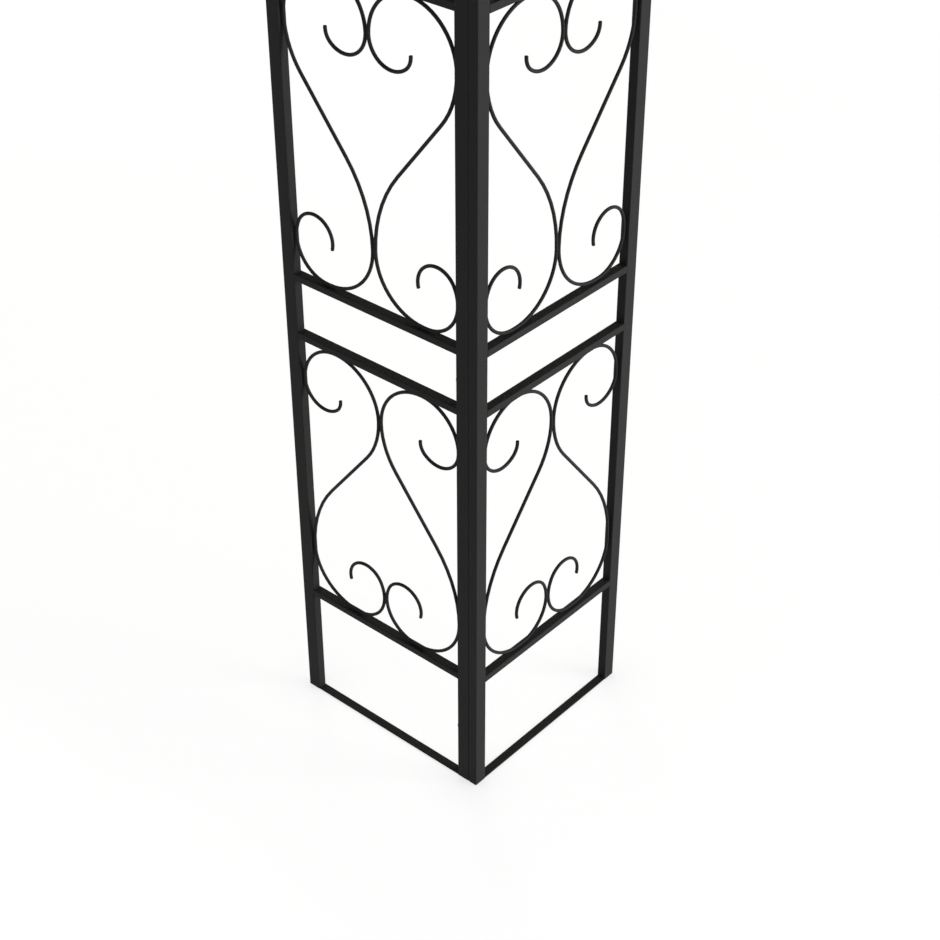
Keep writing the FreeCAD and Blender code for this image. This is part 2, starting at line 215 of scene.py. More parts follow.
def stitch_rows(tree, along, hem_width):
    """1 on the stitches of two rows near the edges of a hem, and 0 elsewhere."""
    # Lockstitches of 3 mm are too fine to show, so they are drawn 9 mm long and 2.4 mm wide.
    edge = 0.004
    half_stitch = 0.0012
    stitch = 0.009
    spacing = 0.012
    rows = []
    for row in (edge, hem_width - edge):
        away = add_node(tree, "ShaderNodeMath", {0: along.outputs["X"], 1: row}, operation="SUBTRACT")
        away = add_node(tree, "ShaderNodeMath", {0: away.outputs[0]}, operation="ABSOLUTE")
        near = add_node(tree, "ShaderNodeMath", {0: away.outputs[0], 1: half_stitch}, operation="LESS_THAN")
        step = add_node(tree, "ShaderNodeMath", {0: along.outputs["Y"], 1: spacing}, operation="MODULO")
        sewn = add_node(tree, "ShaderNodeMath", {0: step.outputs[0], 1: stitch}, operation="LESS_THAN")
        rows.append(add_node(tree, "ShaderNodeMath", {0: near.outputs[0], 1: sewn.outputs[0]}, operation="MULTIPLY"))
    return add_node(tree, "ShaderNodeMath", {0: rows[0].outputs[0], 1: rows[1].outputs[0]}, operation="ADD")


def woven_polyester(tree, scene, stitched=False):
    """Coated polyester canvas, plain or with the rows of stitches of a hem."""
    # Plain weave under a matte water-repellent coat: soft sheen, faint slubs, hardly any gloss.
    colours = scene.gazebo_colours
    place = add_node(tree, "ShaderNodeUVMap", uv_map="cloth").outputs["UV"]
    along = add_node(tree, "ShaderNodeSeparateXYZ", {"Vector": place})
    # Threads of 0.6 mm are too fine to show, so each drawn thread is 3 mm wide.
    thread = 0.003
    threads = []
    for axis in ("X", "Y"):
        turns = add_node(tree, "ShaderNodeMath", {0: along.outputs[axis], 1: math.pi / thread}, operation="MULTIPLY")
        threads.append(add_node(tree, "ShaderNodeMath", {0: turns.outputs[0]}, operation="SINE"))
    weave = add_node(
        tree, "ShaderNodeMath", {0: threads[0].outputs[0], 1: threads[1].outputs[0]}, operation="MULTIPLY"
    )
    height = weave.outputs[0]
    shade = add_node(
        tree, "ShaderNodeMapRange",
        {"Value": height, "From Min": -1.0, "From Max": 1.0, "To Min": 0.0, "To Max": 0.16},
    )
    # Slubs: threads that are a little thicker for some 60 mm
    _, tone = mottle(
        tree, place, size=0.06, detail=4.0, dark=colours.fabric_dark, light=colours.fabric_light
    )
    # Painted shade: following the weave, the canvas colour goes up to 0.16 of the way to the thread shade.
    tone = add_node(
        tree, "ShaderNodeMix", {"Factor": shade.outputs["Result"], "A": tone, "B": linear(colours.fabric_thread_shade)},
        data_type="RGBA",
    )
    if stitched:
        rows = stitch_rows(tree, along, scene.gazebo_fabric.hem_width)
        tone = add_node(
            tree, "ShaderNodeMix",
            {"Factor": rows.outputs[0], "A": tone.outputs["Result"], "B": linear(colours.stitch)},
            data_type="RGBA",
        )
        # A stitch stands three threads high over the weave.
        height = add_node(
            tree, "ShaderNodeMath", {0: rows.outputs[0], 1: 3.0, 2: height}, operation="MULTIPLY_ADD"
        ).outputs[0]
    bump = add_node(tree, "ShaderNodeBump", {"Height": height, "Strength": 0.4, "Distance": 0.0004})
    return add_node(
        tree, "ShaderNodeBsdfPrincipled",
        {
            "Base Color": tone.outputs["Result"],
            "Roughness": 0.85,
            "Specular IOR Level": 0.25,
            "Sheen Weight": 0.12,
            "Sheen Roughness": 0.5,
            "Normal": bump.outputs["Normal"],
        },
    )


def stitched_polyester(tree, scene):
    """The same canvas folded and sewn, as hems and tapes are."""
    # Two pale rows of stitches stand out along the edges and show where the canvas is doubled.
    return woven_polyester(tree, scene, stitched=True)


def woven_webbing(tree, scene):
    """Narrow-loom polypropylene webbing."""
    # Thick ribs of filament run along the strap, with painted shade in the grooves between them, so it looks striped
    # and a little glossy.
    colours = scene.gazebo_colours
    place = add_node(tree, "ShaderNodeUVMap", uv_map="cloth")
    along = add_node(tree, "ShaderNodeSeparateXYZ", {"Vector": place.outputs["UV"]})
    # Ribs 2 mm apart; the weave of the filaments within them is too fine to show.
    rib = 0.002
    turns = add_node(tree, "ShaderNodeMath", {0: along.outputs["X"], 1: FULL_TURN / rib}, operation="MULTIPLY")
    ribs = add_node(tree, "ShaderNodeMath", {0: turns.outputs[0]}, operation="SINE")
    shade = add_node(tree, "ShaderNodeMapRange", {"Value": ribs.outputs[0], "From Min": -1.0, "From Max": 1.0})
    # Painted shade: the grooves between the ribs take the thread shade and the crests the canvas colour.
    tone = add_node(
        tree, "ShaderNodeMix",
        {"Factor": shade.outputs["Result"], "A": linear(colours.fabric_thread_shade), "B": linear(colours.fabric_dark)},
        data_type="RGBA",
    )
    bump = add_node(tree, "ShaderNodeBump", {"Height": ribs.outputs[0], "Strength": 0.5, "Distance": 0.0003})
    return add_node(
        tree, "ShaderNodeBsdfPrincipled",
        {"Base Color": tone.outputs["Result"], "Roughness": 0.6, "IOR": 1.49, "Normal": bump.outputs["Normal"]},
    )


FINISHES = {
    "powder_coated_steel": powder_coat,
    "black_zinc_plate": black_zinc,
    "moulded_polyethylene": moulded_plastic,
    "woven_polyester_canvas": woven_polyester,
    "stitched_polyester_hem": stitched_polyester,
    "woven_polypropylene_webbing": woven_webbing,
}


def finish(scene, name):
    """The material of a finish, made when it is first asked for."""
    material = bpy.data.materials.get(name)
    if material is None:
        material, tree, output = new_material(name)
        shader = FINISHES[name](tree, scene)
        tree.links.new(shader.outputs["BSDF"], output.inputs["Surface"])
    return material


def corner_place(corner):
    """Placing of a leg, or of a side of the roof, that starts at a corner of the plan."""
    sign_x, sign_y = CORNER_SIGNS[corner]
    spot = Vector((sign_x * HALF_PLAN[0], sign_y * HALF_PLAN[1], 0))
    return Matrix.Translation(spot) @ Matrix.Rotation(corner * QUARTER, 4, "Z")


def leg_panels():
    """Name and placing of each leg panel, whose width runs along X in its own place."""
    lapped = Matrix.Translation((PANEL_DEPTH, PANEL_DEPTH, 0)) @ Matrix.Rotation(QUARTER, 4, "Z")
    for corner, leg in enumerate(LEGS):
        yield leg + "_first", corner_place(corner)
        yield leg + "_second", corner_place(corner) @ lapped


def merged_copy(node):
    """A bmesh of a frame node, with the corners of its loose triangles merged."""
    bm = bmesh.new()
    bm.from_mesh(NODES[node].data)
    bmesh.ops.remove_doubles(bm, verts=bm.verts, dist=TRIANGLE_MERGE)
    return bm


def solids_of(node):
    """Points of each separate solid in a frame node."""
    bm = merged_copy(node)
    seen = set()
    solids = []
    for first in bm.verts:
        if first in seen:
            continue
        seen.add(first)
        reached = [first]
        points = []
        while reached:
            vert = reached.pop()
            points.append(vert.co.copy())
            for edge in vert.link_edges:
                other = edge.other_vert(vert)
                if other not in seen:
                    seen.add(other)
                    reached.append(other)
        solids.append(points)
    bm.free()
    return solids


def box_of(points):
    """Lowest and highest corner round some points."""
    low = Vector([min(p[i] for p in points) for i in range(3)])
    high = Vector([max(p[i] for p in points) for i in range(3)])
    return low, high


def mesh_of(bm, name):
    """Turn a bmesh into a mesh."""
    mesh = bpy.data.meshes.new(name)
    bm.to_mesh(mesh)
    bm.free()
    return mesh


def smooth_faces(bm):
    """Shade all faces of a bmesh smooth."""
    for face in bm.faces:
        face.smooth = True


def finish_piece(bm, name, material, slot, *nodes):
    """Turn a bmesh into a piece of the gazebo that stands for some frame nodes."""
    mesh = mesh_of(bm, name)
    mesh.materials.append(material)
    piece = bpy.data.objects.new(name, mesh)
    bpy.context.scene.collection.objects.link(piece)
    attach(piece, "root")
    if nodes:
        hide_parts(*nodes)
    return piece


def recoat(node, material):
    """Give a frame node that shows as it is a finish of its own."""
    materials = NODES[node].data.materials
    materials.clear()
    materials.append(material)


def rounded_copy(node, radius, shortest, material):
    """A frame node with its long outer edges rounded, as rolled tube and sheared plate have them."""
    flat = math.radians(0.5)
    sharp = 0.6
    bm = merged_copy(node)
    bmesh.ops.dissolve_limit(bm, angle_limit=flat, verts=bm.verts, edges=bm.edges)
    edges = []
    for edge in bm.edges:
        outer = edge.is_manifold and edge.is_convex and edge.calc_face_angle() > sharp
        if outer and edge.calc_length() > shortest:
            edges.append(edge)
    bmesh.ops.bevel(
        bm, geom=edges, offset=radius, segments=3, profile=0.5, affect="EDGES", material=-1, clamp_overlap=False
    )
    return finish_piece(bm, node + "_steel", material, "frame_steel", node)


def rail_boxes():
    """Lowest and highest corners of a panel's strips and rails in the panel's own place, from the ground up."""
    back = corner_place(0).inverted()
    boxes = []
    for points in solids_of("front_left_first_rails"):
        boxes.append(box_of([back @ point for point in points]))
    return sorted(boxes, key=lambda box: box[0].z)


def tiers():
    """Lower end and height of the two scroll tiers."""
    boxes = rail_boxes()
    return [(boxes[i][1].z, boxes[i + 1][0].z - boxes[i][1].z) for i in (1, 3)]


def inner_centre(centre, radius, new_radius, heading, side):
    """Centre of the next bend where a bar's radius changes at a heading."""
    return centre + Vector((math.sin(heading), -math.cos(heading))) * side * (radius - new_radius)


def scroll_bends(size, height):
    """Centre, radius, first and last heading of each bend of a scroll bar, from its upper curl down."""
    inset = size.diameter / 2
    middle = HALF_OPENING - inset
    top = height - inset
    span = middle - inset
    arch_in = span - size.upper_arch
    arch_out = span - size.lower_arch - size.lower_flat
    curl_height = top - size.upper_arch
    shoulder_height = top - arch_in
    hip_height = inset + arch_out
    rise = shoulder_height - hip_height
    both = (span ** 2 + rise ** 2 - size.straight ** 2) / (2 * span)
    hip = both - size.shoulder
    lean = math.atan2(size.straight, both) - math.atan2(rise, both - span) - QUARTER
    tip_heading = QUARTER + size.upper_curl_turn
    fold_heading = QUARTER + size.lower_arch_lead
    curl_centre = Vector((inset + size.upper_curl, curl_height))
    fold_centre = Vector((middle - size.lower_arch, inset + size.lower_arch))
    tip_centre = inner_centre(curl_centre, size.upper_curl, size.upper_tip, tip_heading, -1)
    eye_centre = inner_centre(fold_centre, size.lower_arch, size.lower_curl, fold_heading, 1)
    return [
        (tip_centre, size.upper_tip, tip_heading + size.upper_tip_turn, tip_heading),
        (curl_centre, size.upper_curl, tip_heading, QUARTER),
        (Vector((inset + size.upper_arch, curl_height)), size.upper_arch, QUARTER, 0.0),
        (Vector((middle - arch_in, shoulder_height)), arch_in, 0.0, -QUARTER),
        (Vector((middle - size.shoulder, shoulder_height)), size.shoulder, -QUARTER, lean),
        (Vector((inset + hip, hip_height)), hip, lean, -QUARTER),
        (Vector((inset + arch_out, hip_height)), arch_out, -QUARTER, 0.0),
        (fold_centre, size.lower_arch, 0.0, fold_heading),
        (eye_centre, size.lower_curl, fold_heading, fold_heading + size.lower_curl_turn),
    ]


def bend_ends(bend):
    """First and last point of a bend, in the panel's plane."""
    centre, radius, start, end = bend
    side = 1.0 if end > start else -1.0
    ends = []
    for heading in (start, end):
        spot = centre + Vector((math.sin(heading), -math.cos(heading))) * side * radius
        ends.append(Vector((spot.x, 0, spot.y)))
    return ends


def scroll_bar(size, height):
    """Mesh of one scroll bar of round wire, bent through its curls and cut square at both ends."""
    bends = scroll_bends(size, height)
    touching = size.diameter / 100
    chamfer = size.diameter / 12
    bm = bmesh.new()
    here = bend_ends(bends[0])[0]
    turn = Matrix.Translation(here) @ Matrix.Rotation(QUARTER - bends[0][2], 4, "Y")
    bmesh.ops.create_circle(bm, segments=size.sides, radius=size.diameter / 2, matrix=turn)
    rim = list(bm.edges)
    for bend in bends:
        centre, _, first, last = bend
        start, end = bend_ends(bend)
        if (start - here).length > touching:
            run = bmesh.ops.extrude_edge_only(bm, edges=rim)["geom"]
            verts = [g for g in run if isinstance(g, bmesh.types.BMVert)]
            bmesh.ops.translate(bm, verts=verts, vec=start - here)
            rim = [g for g in run if isinstance(g, bmesh.types.BMEdge) and set(g.verts) <= set(verts)]
        swept = last - first
        spun = bmesh.ops.spin(
            bm, geom=rim, cent=(centre.x, 0, centre.y), axis=(0, -1, 0), angle=swept,
            steps=math.ceil(abs(swept) / size.flat_turn), use_merge=False, use_duplicate=False,
        )["geom_last"]
        rim = [g for g in spun if isinstance(g, bmesh.types.BMEdge)]
        here = end
    smooth_faces(bm)
    ends = [edge for edge in bm.edges if edge.is_boundary]
    bmesh.ops.holes_fill(bm, edges=ends, sides=size.sides)
    bmesh.ops.bevel(bm, geom=ends, offset=chamfer, segments=2, profile=0.5, affect="EDGES", material=-1)
    bmesh.ops.recalc_face_normals(bm, faces=bm.faces)
    return mesh_of(bm, "scroll_bar")


def mirrored(across):
    """Mirror image about an upright line of a panel."""
    there = Matrix.Translation((across, 0, 0))
    return there @ Matrix.Scale(-1, 4, (1, 0, 0)) @ there.inverted()


def bar_places():
    """Places of the four scroll bars of a panel: a mirrored pair in each tier, turned over in the upper one."""
    lower, upper = [bottom for bottom, _ in tiers()]
    first = Matrix.Translation((POST_WIDTH, PANEL_DEPTH / 2, lower))
    third = Matrix.Translation((0, 0, upper - lower)) @ mirrored(POST_WIDTH + HALF_OPENING / 2) @ first
    middle = mirrored(PANEL_WIDTH / 2)
    return [first, middle @ first, third, middle @ third]


def add_mesh(bm, mesh, matrix):
    """Add a copy of a mesh to a bmesh at a place."""
    start = len(bm.verts)
    bm.from_mesh(mesh)
    bm.verts.ensure_lookup_table()
    bmesh.ops.transform(bm, matrix=matrix, verts=bm.verts[start:])


def weld_spots(size, weld):
    """Centre and half-lengths of every weld bead of a panel."""
    across_tube = PANEL_DEPTH * 0.47
    along_wire = weld * 2.6
    spots = []
    for low, high in rail_boxes():
        levels = [z for z in (low.z, high.z) if weld < z < POST_HIGH.z - weld]
        for across in (low.x, high.x):
            for level in levels:
                spots.append((Vector((across, PANEL_DEPTH / 2, level)), Vector((weld, across_tube, weld))))
    upright = Vector((weld, weld, along_wire))
    level = Vector((along_wire, weld, weld))
    ends = [bend_ends(bend)[1] for bend in scroll_bends(size, tiers()[0][1])]
    side = Vector((size.diameter / 2, 0, 0))
    up = Vector((0, 0, size.diameter / 2))
    touches = [
        (ends[1] - side, upright),
        (ends[2] + up, level),
        (ends[3] + side, upright),
        (ends[5] - side, upright),
        (ends[6] - up, level),
    ]
    for place in bar_places():
        spots += [(place @ point, reach) for point, reach in touches]
    return spots


def fastener_seats(node):
    """Seat and outward direction of the head of each bolt or screw in a frame node."""
    seats = []
    for points in solids_of(node):
        low, high = box_of(points)
        size = high - low
        axis = max(range(3), key=lambda i: size[i])
        centre = (low + high) / 2
        around = [math.hypot(*[p[i] - centre[i] for i in range(3) if i != axis]) for p in points]
        rim = 0.9 * max(around)
        head = [p[axis] for p, r in zip(points, around) if r > rim]
        out = 1.0 if sum(head) / len(head) > centre[axis] else -1.0
        seat = centre.copy()
        seat[axis] = min(head) if out > 0 else max(head)
        direction = Vector((0, 0, 0))
        direction[axis] = out
        seats.append((seat, direction))
    return seats


def add_drum(bm, sides, radius, upper_radius, bottom, height):
    """Add a closed drum that stands on the Z axis."""
    bmesh.ops.create_cone(
        bm, cap_ends=True, segments=sides, radius1=radius, radius2=upper_radius, depth=height,
        matrix=Matrix.Translation((0, 0, bottom + height / 2)),
    )


def round_top(bm, level, radius, segments):
    """Round the edges of a bmesh that lie above a level."""
    edges = [edge for edge in bm.edges if min(vert.co.z for vert in edge.verts) > level]
    bmesh.ops.bevel(bm, geom=edges, offset=radius, segments=segments, profile=0.5, affect="EDGES", material=-1)


def hex_head(size):
    """Mesh of a hexagon bolt head on a washer, standing on the XY plane."""
    bm = bmesh.new()
    washer = size.washer_thickness
    head = size.bolt_head_height
    add_drum(bm, 24, size.washer_radius, size.washer_radius, bottom=0, height=washer)
    add_drum(bm, 6, size.bolt_head_radius, size.bolt_head_radius, bottom=washer, height=head)
    round_top(bm, level=washer + head * 0.9, radius=head / 6, segments=2)
    return mesh_of(bm, "hex_head")


def pan_head(size):
    """Mesh of a pan head screw with a socket, standing on the XY plane."""
    bm = bmesh.new()
    height = size.screw_head_height
    radius = size.screw_head_radius
    add_drum(bm, 18, radius, radius * 0.86, bottom=0, height=height)
    round_top(bm, level=height * 0.9, radius=height * 0.3, segments=3)
    # The socket: its rim, the draft of its wall, and its floor
    top = max(bm.faces, key=lambda face: face.calc_center_median().z)
    bmesh.ops.inset_region(bm, faces=[top], thickness=radius * 0.25)
    bmesh.ops.inset_region(bm, faces=[top], thickness=radius * 0.02)
    bmesh.ops.translate(bm, verts=top.verts, vec=(0, 0, -height * 0.6))
    return mesh_of(bm, "pan_head")


def heads_piece(node, mesh, name, material):
    """One piece that holds the heads of all the fasteners in a frame node."""
    bm = bmesh.new()
    for seat, direction in fastener_seats(node):
        turn = Vector((0, 0, 1)).rotation_difference(direction).to_matrix().to_4x4()
        add_mesh(bm, mesh, Matrix.Translation(seat) @ turn)
    bmesh.ops.recalc_face_normals(bm, faces=bm.faces)
    bpy.data.meshes.remove(mesh)
    return finish_piece(bm, name, material, "fastener_steel", node)


def smooth_rise(share):
    """Share of the way between 0 and 1 that starts and ends gently."""
    share = min(1.0, max(0.0, share))
    return share * share * (3 - 2 * share)


def new_cloth():
    """An empty bmesh and the UV map that its weave follows."""
    bm = bmesh.new()
    return bm, bm.loops.layers.uv.new("cloth")


def cloth_grid(bm, columns, rows):
    """Points and faces of a new grid of cloth, which runs from -0.5 to 0.5 both ways."""
    verts = bmesh.ops.create_grid(bm, x_segments=columns, y_segments=rows, size=0.5)["verts"]
    return verts, {face for vert in verts for face in vert.link_faces}


def lay_weave(uv, faces, place):
    """Set where the corners of some faces lie on the flat cloth, in metres."""
    for face in faces:
        for loop in face.loops:
            loop[uv].uv = place(loop.vert)


def cloth_piece(scene, bm, name, finish_name, *nodes, layers=1):
    """Smooth sheet of cloth with the thickness of some layers, as a piece."""
    bmesh.ops.remove_doubles(bm, verts=bm.verts, dist=CLOTH_MERGE)
    smooth_faces(bm)
    piece = finish_piece(bm, name, finish(scene, finish_name), "canopy_fabric", *nodes)
    wall = piece.modifiers.new("thickness", "SOLIDIFY")
    wall.thickness = scene.gazebo_fabric.thickness * layers
    wall.offset = 0.0
    return piece


def slack_share(share, up):
    """Share of the full sag at a share of the way along a slope and of the way up it."""
    flat_edge = 0.06
    hip_hold = 1.6
    end_hold = 0.9
    between_hips = (4 * share * (1 - share)) ** hip_hold
    return between_hips * math.sin(math.pi * smooth_rise((up - flat_edge) / (1 - flat_edge))) ** end_hold


def roof_sheet(low, high, sag, columns, rows):
    """Continuous canopy over four hips, slack between them, from (inset, height) at its eave to those at its top."""
    gather = 0.8
    bm, uv = new_cloth()
    slope = math.hypot(1.0, (high[1] - low[1]) / (high[0] - low[0]))
    for corner in range(4):
        length = SIDE_LENGTHS[corner]
        verts, faces = cloth_grid(bm, columns, rows)
        for vert in verts:
            # The columns gather towards the hips, where the cloth bends most.
            share = vert.co.x + 0.5
            share -= gather * math.sin(FULL_TURN * share) / FULL_TURN
            up = vert.co.y + 0.5
            inset = low[0] + up * (high[0] - low[0])
            along = inset + share * (length - 2 * inset)
            ripple = sum(depth * math.sin(along * turn + inset * rise) for depth, turn, rise in RIPPLES)
            height = low[1] + up * (high[1] - low[1]) - sag * slack_share(share, up) * (1 + ripple)
            vert.co = (along, inset, height)
        lay_weave(uv, faces, lambda vert: (vert.co.x, vert.co.y * slope))
        bmesh.ops.transform(bm, matrix=corner_place(corner), verts=verts)
    return bm


def hip_tapes(low, high, lift, widths, reach, rows):
    """Folded tapes sewn over the hips of a canopy, with a width at each end, that reach a share of the way up."""
    bm, uv = new_cloth()
    for corner in range(4):
        before = (corner - 1) % 4
        verts, faces = cloth_grid(bm, columns=4, rows=rows)
        sewn = {}
        for vert in verts:
            width = widths[0] + (vert.co.y + 0.5) * (widths[1] - widths[0])
            up = (vert.co.y + 0.5) * reach
            inset = low[0] + up * (high[0] - low[0])
            height = low[1] + up * (high[1] - low[1]) + lift
            away = abs(vert.co.x) * width * DIAGONAL
            sewn[vert] = ((0.5 - abs(vert.co.x)) * width, up * (high[0] - low[0]) * DIAGONAL)
            if vert.co.x > 0:
                vert.co = corner_place(corner) @ Vector((inset + away, inset, height))
            else:
                vert.co = corner_place(before) @ Vector((SIDE_LENGTHS[before] - inset - away, inset, height))
        lay_weave(uv, faces, sewn.get)
    return bm


def straight_side(corner, inset):
    """Length of the straight part of an eave's side."""
    return SIDE_LENGTHS[corner] - 2 * inset - 2 * EAVE_BEND


def eave_spot(inset, run):
    """Point, outward direction and distance from a corner at a run along the rounded rectangle of an eave."""
    for corner in range(4):
        straight = straight_side(corner, inset)
        place = corner_place(corner)
        if run <= straight:
            spot = place @ Vector((inset + EAVE_BEND + run, inset, 0))
            return spot, place.to_3x3() @ Vector((0, -1, 0)), min(run, straight - run)
        run -= straight
        if run <= EAVE_ARC or corner == 3:
            turn = run / EAVE_BEND
            out = Vector((math.sin(turn), -math.cos(turn), 0))
            spot = place @ (Vector((inset + EAVE_BEND + straight, inset + EAVE_BEND, 0)) + out * EAVE_BEND)
            return spot, place.to_3x3() @ out, 0.0
        run -= EAVE_ARC


def eave_length(inset):
    """Length of the rounded rectangle of an eave."""
    return sum(SIDE_LENGTHS) - 8 * inset - 8 * EAVE_BEND + FULL_TURN * EAVE_BEND


def skirt(inset, levels, start, wave, waves, rows):
    """Cloth strip round an eave, from a start down, in shallow folds that grow from the upper level to the lower."""
    wander = 1.4
    drifts = 7
    finer = 0.4
    growth = 1.4
    bm, uv = new_cloth()
    eave, bottom = levels
    around = eave_length(inset)
    verts, faces = cloth_grid(bm, waves * FOLD_STEPS, rows)
    heights = {vert: start + (bottom - start) * (0.5 - vert.co.y) for vert in verts}
    lay_weave(uv, faces, lambda vert: (heights[vert] - bottom, (vert.co.x + 0.5) * around))
    for vert in verts:
        share = vert.co.x + 0.5
        height = heights[vert]
        spot, out, clear = eave_spot(inset, share * around)
        # Folds that wander in their spacing, and finer ones out of step with them
        turn = FULL_TURN * share
        fold = math.sin(turn * waves + wander * math.sin(turn * drifts))
        fold += finer * math.sin(turn * (2 * waves + 3) + 1.0)
        depth = wave * fold * ((eave - height) / (eave - bottom)) ** growth * smooth_rise(clear / FOLD_FADE)
        vert.co = spot + out * depth + Vector((0, 0, height))
    bmesh.ops.remove_doubles(bm, verts=bm.verts, dist=CLOTH_MERGE)
    return bm


def corner_bindings(inset, levels, lift, width):
    """Upright tapes that bind the corners of a skirt."""
    bm, uv = new_cloth()
    top, bottom = levels
    drop = top - bottom
    middle = 0.0
    for corner in range(4):
        middle += straight_side(corner, inset) + EAVE_ARC / 2
        verts, faces = cloth_grid(bm, columns=10, rows=4)
        lay_weave(uv, faces, lambda vert: ((0.5 - abs(vert.co.x)) * width, (vert.co.y + 0.5) * drop))
        for vert in verts:
            run = (middle + vert.co.x * width) % eave_length(inset)
            spot, out, _ = eave_spot(inset, run)
            vert.co = spot + out * lift + Vector((0, 0, bottom + (vert.co.y + 0.5) * drop))
        middle += EAVE_ARC / 2
    return bm


def tie_strap(size, beam):
    """Mesh of a strap looped round an eave beam, with its width along X."""
    fold = 0.002
    low, high = beam
    gap = Vector((0, size.tie_gap, size.tie_gap))
    reach = high - low + 2 * gap
    reach.x = size.tie_width
    bm, uv = new_cloth()
    place = Matrix.Translation((low + high) / 2) @ Matrix.Diagonal((*reach, 1.0))
    bmesh.ops.create_cube(bm, size=1.0, matrix=place)
    ends = [face for face in bm.faces if abs(face.normal.x) > 0.5]
    bmesh.ops.delete(bm, geom=ends, context="FACES_ONLY")
    folds = [edge for edge in bm.edges if not edge.is_boundary]
    bmesh.ops.bevel(bm, geom=folds, offset=fold, segments=3, profile=0.5, affect="EDGES", material=-1)
    bmesh.ops.solidify(bm, geom=bm.faces, thickness=-size.tie_wall)
    bmesh.ops.recalc_face_normals(bm, faces=bm.faces)
    lay_weave(uv, bm.faces, lambda vert: (vert.co.x, vert.co.z))
    return mesh_of(bm, "tie_strap")


def piping(inset, height, radius):
    """Round welt sewn into the seam between a canopy and its skirt."""
    bm, uv = new_cloth()
    around = eave_length(inset)
    verts, faces = cloth_grid(bm, WELT_STEPS, WELT_SIDES)
    girth = FULL_TURN * radius
    lay_weave(uv, faces, lambda vert: ((vert.co.y + 0.5) * girth, (vert.co.x + 0.5) * around))
    for vert in verts:
        spot, out, _ = eave_spot(inset, (vert.co.x + 0.5) * around)
        angle = FULL_TURN * vert.co.y
        vert.co = spot + out * radius * math.cos(angle) + Vector((0, 0, height + radius * math.sin(angle)))
    bmesh.ops.remove_doubles(bm, verts=bm.verts, dist=CLOTH_MERGE)
    bmesh.ops.recalc_face_normals(bm, faces=bm.faces)
    smooth_faces(bm)
    return bm


def canopy_piece(scene, node, eave, top, sag, columns, rows):
    """Canopy that stands for a frame node."""
    sheet = roof_sheet(eave, top, sag, columns, rows)
    return cloth_piece(scene, sheet, node + "_cloth", "woven_polyester_canvas", node)


def tape_piece(scene, name, eave, top, layer, widths, reach, rows):
    """Tapes or patches over the hips of a canopy, as one of its sewn layers."""
    tapes = hip_tapes(eave, top, scene.gazebo_fabric.thickness * layer, widths, reach, rows)
    return cloth_piece(scene, tapes, name, "stitched_polyester_hem")


def welt_piece(scene, name, eave):
    """Welt round the eave of a canopy."""
    welt = piping(*eave, scene.gazebo_fabric.welt)
    return finish_piece(welt, name, finish(scene, "woven_polyester_canvas"), "canopy_fabric")


def skirt_pieces(scene, name, inset, levels, wave, waves, rows, nodes=()):
    """Skirt that hangs from an upper to a lower level, and the rolled hem of its lower edge."""
    top, bottom = levels
    strip = skirt(inset, levels, top, wave, waves, rows)
    cloth = cloth_piece(scene, strip, name + "_cloth", "woven_polyester_canvas", *nodes)
    edge = skirt(inset, levels, bottom + scene.gazebo_fabric.hem_width, wave, waves, HEM_ROWS)
    return cloth, cloth_piece(scene, edge, name + "_hem", "stitched_polyester_hem", layers=HEM_LAYERS)


class GazeboColours(bpy.types.PropertyGroup):
    """Colours of the finishes."""

    coat_dark: StringProperty(name="Coat, dark", description="Darker tone of the powder coat", default="#2c2c2c")
    coat_light: StringProperty(name="Coat, light", description="Lighter tone of the powder coat", default="#333333")
    zinc_dark: StringProperty(name="Plating, dark", description="Darker tone of the plating", default="#2a2a2c")
    zinc_light: StringProperty(name="Plating, light", description="Lighter tone of the plating", default="#47474a")
    fabric_dark: StringProperty(name="Canvas, dark", description="Darker tone of the canvas", default="#c3b294")
    fabric_light: StringProperty(name="Canvas, light", description="Lighter tone of the canvas", default="#d3c4a8")
    # Painted shade, laid between the threads of the canvas and in the grooves of the webbing
    fabric_thread_shade: StringProperty(name="Canvas, thread", description="Shade between the threads", default="#8d7d61")
    stitch: StringProperty(name="Stitches", description="Sewing thread", default="#efe6d2")


class GazeboScrolls(bpy.types.PropertyGroup):
    """Sizes of a scroll bar, which follow the frame's."""

    diameter: FloatProperty(name="Wire", description="Diameter of the wire", default=0.007, unit="LENGTH")
    sides: IntProperty(name="Sides", description="Flats round the wire", default=14, min=6)
    flat_turn: FloatProperty(
        name="Bend step", description="Turn of each short flat", default=math.radians(6), subtype="ANGLE"
    )
    upper_tip: FloatProperty(name="Upper tip", description="Radius at the upper end", default=0.032, unit="LENGTH")
    upper_tip_turn: FloatProperty(
        name="Upper tip turn", description="Turn at the upper end", default=math.radians(57), subtype="ANGLE"
    )
    upper_curl: FloatProperty(name="Upper curl", description="Radius of the upper curl", default=0.052, unit="LENGTH")
    upper_curl_turn: FloatProperty(
        name="Upper curl turn", description="Turn of the upper curl", default=math.radians(128), subtype="ANGLE"
    )
    upper_arch: FloatProperty(name="Upper arch", description="Radius under the rail", default=0.09, unit="LENGTH")
    shoulder: FloatProperty(name="Shoulder", description="Radius at the panel's middle", default=0.16, unit="LENGTH")
    straight: FloatProperty(name="Straight", description="Run between the two halves", default=0.166, unit="LENGTH")
    lower_flat: FloatProperty(name="Lower flat", description="Run along the lower rail", default=0.007, unit="LENGTH")
    lower_arch: FloatProperty(name="Lower arch", description="Radius over the rail", default=0.0765, unit="LENGTH")
    lower_arch_lead: FloatProperty(
        name="Lower arch lead", description="Turn past the middle", default=math.radians(27), subtype="ANGLE"
    )
    lower_curl: FloatProperty(name="Lower curl", description="Radius of the lower curl", default=0.046, unit="LENGTH")
    lower_curl_turn: FloatProperty(
        name="Lower curl turn", description="Turn of the lower curl", default=math.radians(169), subtype="ANGLE"
    )


